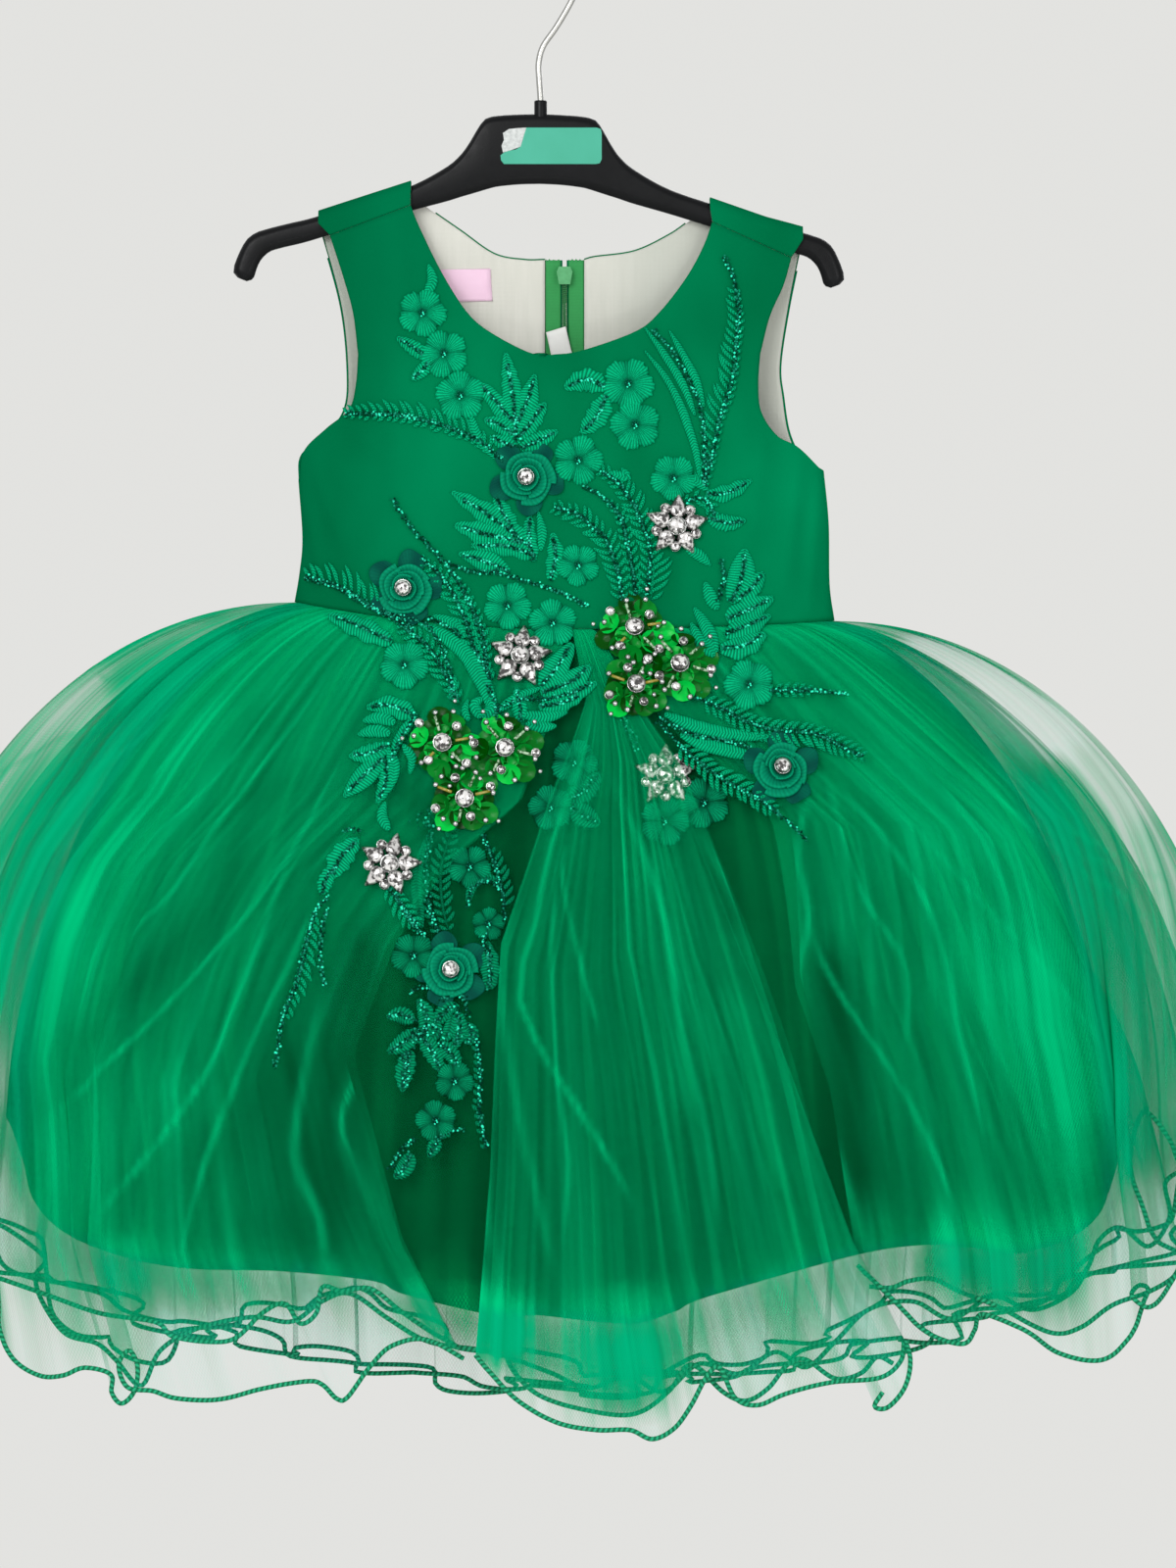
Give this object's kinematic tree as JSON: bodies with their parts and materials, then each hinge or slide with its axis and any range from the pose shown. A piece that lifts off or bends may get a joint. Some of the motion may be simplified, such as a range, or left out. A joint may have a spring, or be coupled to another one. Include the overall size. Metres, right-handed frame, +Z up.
{
  "type": "princess dress on a hanger",
  "caption": "Child's sleeveless princess dress on a hanger: satin bodice with embroidered flowers and stones, a zip down the back, and a full skirt of parted tulle over a plain underskirt.",
  "frame": {"origin": "inside top of the hanger's hook, where it rests on a rail", "axes": "+Z up, the front of the dress faces -Y, +X is to the right as seen from the front"},
  "size_m": [0.7324, 0.1859, 0.7997],
  "materials": {
    "satin": "emerald satin with a soft sheen",
    "lining": "cream plain-weave cotton",
    "tulle": "bright green see-through tulle",
    "net": "green see-through net",
    "underskirt": "dark green satin",
    "hem_cord": "twisted green thread over a thin line",
    "embroidery": "raised thread with sequins",
    "rose_cloth": "layered organza petals",
    "crystal": "clear cut stones in silver settings",
    "beads": "green cup sequins and glass beads",
    "zip_tape": "grass-green woven tape",
    "zip_coil": "green nylon coil",
    "zip_metal": "green enamel",
    "pink_tape": "bare pink woven tape",
    "white_tape": "bare white satin tape",
    "hanger": "black, slightly satin",
    "hook_wire": "plated steel wire",
    "sticker": "bare mint film"
  },
  "bodies": {
    "dress": {"applique_chest": "embroidery", "applique_gap_bottom": "embroidery", "applique_gap_middle": "embroidery", "applique_gap_top": "embroidery", "applique_left_chest": "embroidery", "applique_left_strap": "embroidery", "applique_left_trail": "embroidery", "applique_left_waist": "embroidery", "applique_middle_fan": "embroidery", "applique_neck": "embroidery", "applique_right_fern": "embroidery", "applique_right_spray": "embroidery", "applique_right_strap": "embroidery", "applique_right_waist": "embroidery", "applique_side_leaf": "embroidery", "applique_under_tulle_left": "embroidery", "applique_under_tulle_middle": "embroidery", "applique_under_tulle_right": "embroidery", "applique_waist": "embroidery", "bead_cluster_left": "beads", "bead_cluster_right": "beads", "bodice_back_left": "satin", "bodice_back_right": "satin", "bodice_front": "satin", "care_label": "white_tape", "hanger": "hanger", "hem_cord_back": "hem_cord", "hem_cord_left": "hem_cord", "hem_cord_middle": "hem_cord", "hem_cord_net_back": "hem_cord", "hem_cord_net_front": "hem_cord", "hem_cord_right": "hem_cord", "hook": "hook_wire", "lining_back_left": "lining", "lining_back_right": "lining", "lining_front": "lining", "neck_label": "pink_tape", "net_back": "net", "net_front": "net", "rose_1": "rose_cloth", "rose_2": "rose_cloth", "rose_3": "rose_cloth", "rose_4": "rose_cloth", "size_sticker": "sticker", "star_brooch_1": "crystal", "star_brooch_2": "crystal", "star_brooch_3": "crystal", "star_brooch_4": "crystal", "tulle_back": "tulle", "tulle_left": "tulle", "tulle_middle": "tulle", "tulle_right": "tulle", "underskirt_back": "underskirt", "underskirt_front": "underskirt", "zip_coil": "zip_coil", "zip_slider": "zip_metal", "zip_tape_left": "zip_tape", "zip_tape_right": "zip_tape"},
    "pull_tab": {"zip_pull": "zip_metal"}
  },
  "joints": [
    {"name": "pull_tab_swing", "type": "hinge", "parent": "dress", "child": "pull_tab", "pos_m": [0.013, 0.01265, -0.17716], "axis": [1, 0, 0], "range_deg": [0, 160]}
  ]
}
